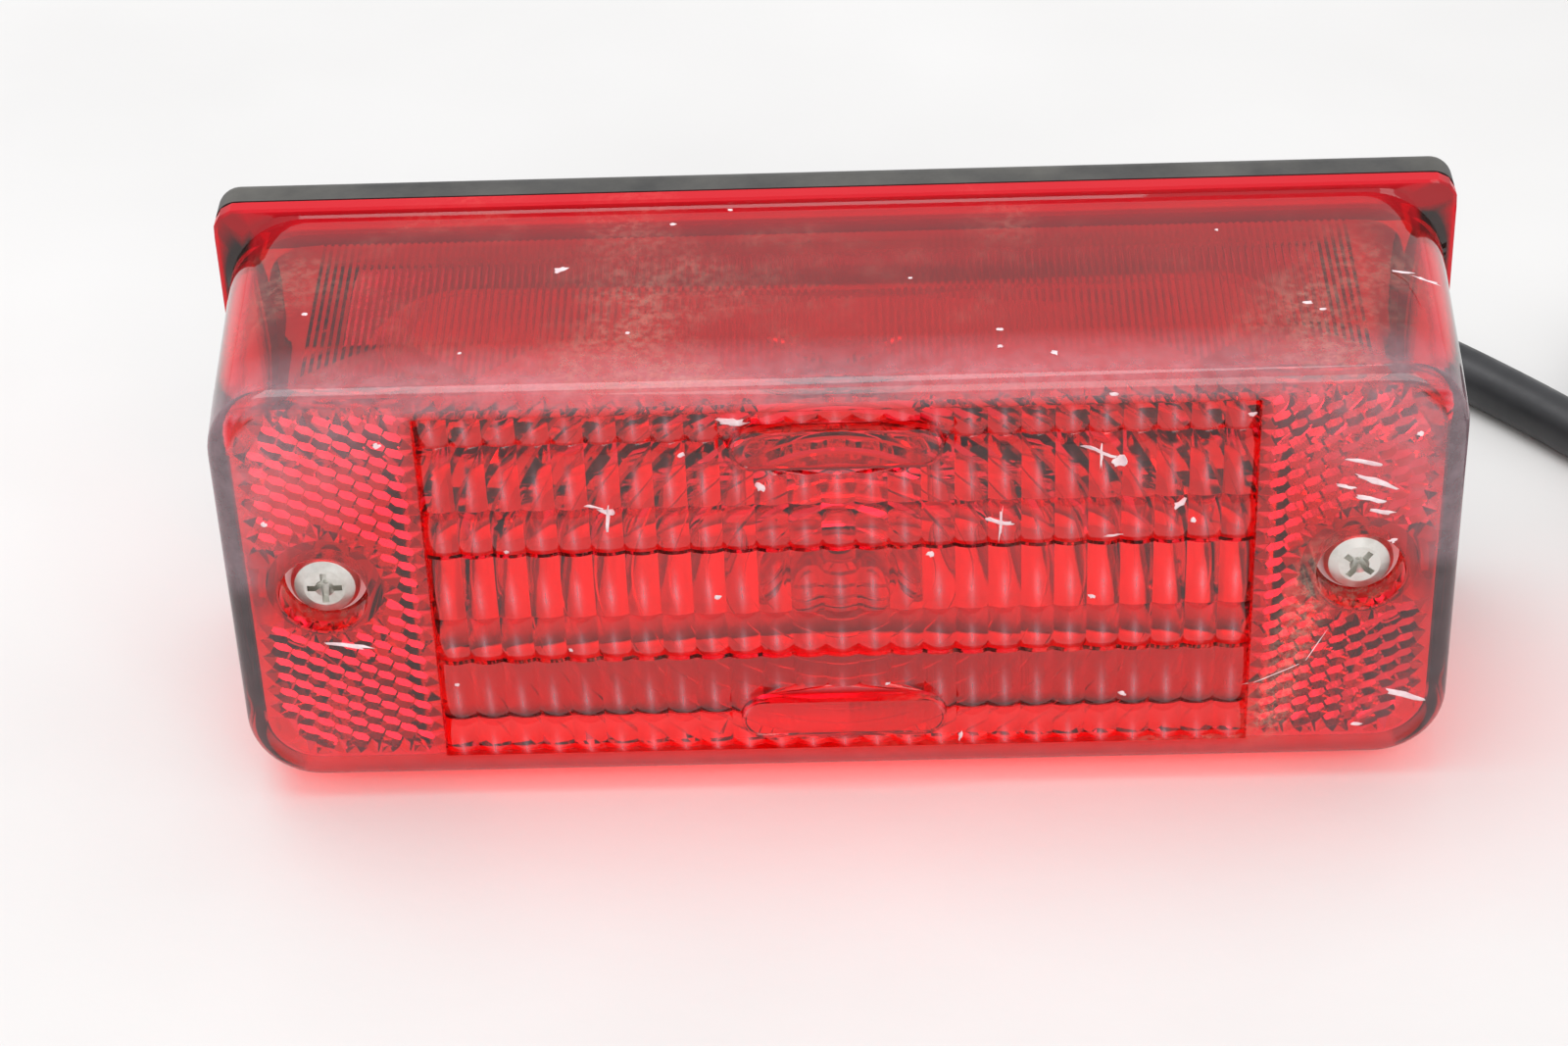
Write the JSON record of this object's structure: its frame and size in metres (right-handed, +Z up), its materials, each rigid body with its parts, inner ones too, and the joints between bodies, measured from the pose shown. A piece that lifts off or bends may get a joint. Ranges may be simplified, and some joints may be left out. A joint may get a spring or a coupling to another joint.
{
  "type": "motorcycle tail light",
  "caption": "Rectangular stop and tail lamp: red ribbed lens with reflex ends screwed to a black base tray, bayonet bulb and socket inside, rear studs and a coiled lead.",
  "frame": {"origin": "middle of the lamp's own box, at the lower edge of its flange", "axes": "+X along the lamp to the right as seen from the lens side, -Y is the way the lens faces, +Z up"},
  "size_m": [0.2739, 0.1174, 0.064],
  "materials": {
    "lens_red": "clear red, slightly scuffed",
    "black_plastic": "satin, dusty",
    "black_rubber": "matte",
    "cord_black": "satin sleeve",
    "zinc_steel": "zinc plated",
    "brass": "dull",
    "aluminium_sheet": "bright pressed",
    "clear_glass": "clear",
    "tungsten": "drawn wire",
    "solder": "soft solder",
    "dark_glass": "vitrified insulator",
    "white_nylon": "natural nylon",
    "brown_resin": "moulded resin board",
    "spring_steel": "spring wire",
    "wire_red": "insulation",
    "wire_yellow": "insulation",
    "wire_black": "insulation",
    "connector_grey": "moulded nylon"
  },
  "bodies": {
    "base": {"housing": "black_plastic", "lens_gasket": "black_rubber", "screw_inserts": "brass", "reflector": "aluminium_sheet", "reflector_screws": "zinc_steel", "socket_shell": "zinc_steel", "socket_rivets": "aluminium_sheet", "contact_spring": "spring_steel", "ground_terminal": "brass", "wire_tail": "wire_yellow", "wire_brake": "wire_red", "wire_ground": "wire_black", "wire_grommet": "black_rubber", "mounting_studs": "zinc_steel", "cord_lead": "cord_black", "cord_coil": "cord_black", "cord_tail": "cord_black", "cord_tie": "black_plastic", "connector_body": "connector_grey", "connector_terminals": "brass"},
    "lens": {"lens": "lens_red"},
    "screw_left": {"lens_screw_left": "zinc_steel", "screw_washer_left": "white_nylon"},
    "screw_right": {"lens_screw_right": "zinc_steel", "screw_washer_right": "white_nylon"},
    "contacts": {"contact_carrier": "brown_resin", "contact_pins": "brass"},
    "bulb": {"bulb_glass": "clear_glass", "bulb_base": "brass", "bulb_stem": "clear_glass", "bulb_insulator": "dark_glass", "bulb_contacts": "solder", "filament_supports": "tungsten", "filaments": "tungsten"}
  },
  "joints": [
    {"name": "lens_off", "type": "slide", "parent": "base", "child": "lens", "axis": [0, -1, 0], "range_m": [0, 0.055]},
    {"name": "screw_left_out", "type": "slide", "parent": "lens", "child": "screw_left", "axis": [0, -1, 0], "range_m": [0, 0.012]},
    {"name": "screw_right_out", "type": "slide", "parent": "lens", "child": "screw_right", "axis": [0, -1, 0], "range_m": [0, 0.012]},
    {"name": "contact_press", "type": "slide", "parent": "base", "child": "contacts", "axis": [0, 1, 0], "range_m": [0, 0.002], "stiffness_N_per_m": 800, "springref_m": -0.004, "deforming": ["contact_spring", "wire_tail", "wire_brake"]},
    {"name": "bulb_twist", "type": "hinge", "parent": "contacts", "child": "bulb", "pos_m": [0, 0.01415, 0.032], "axis": [0, -1, 0], "range_deg": [0, 25]}
  ]
}
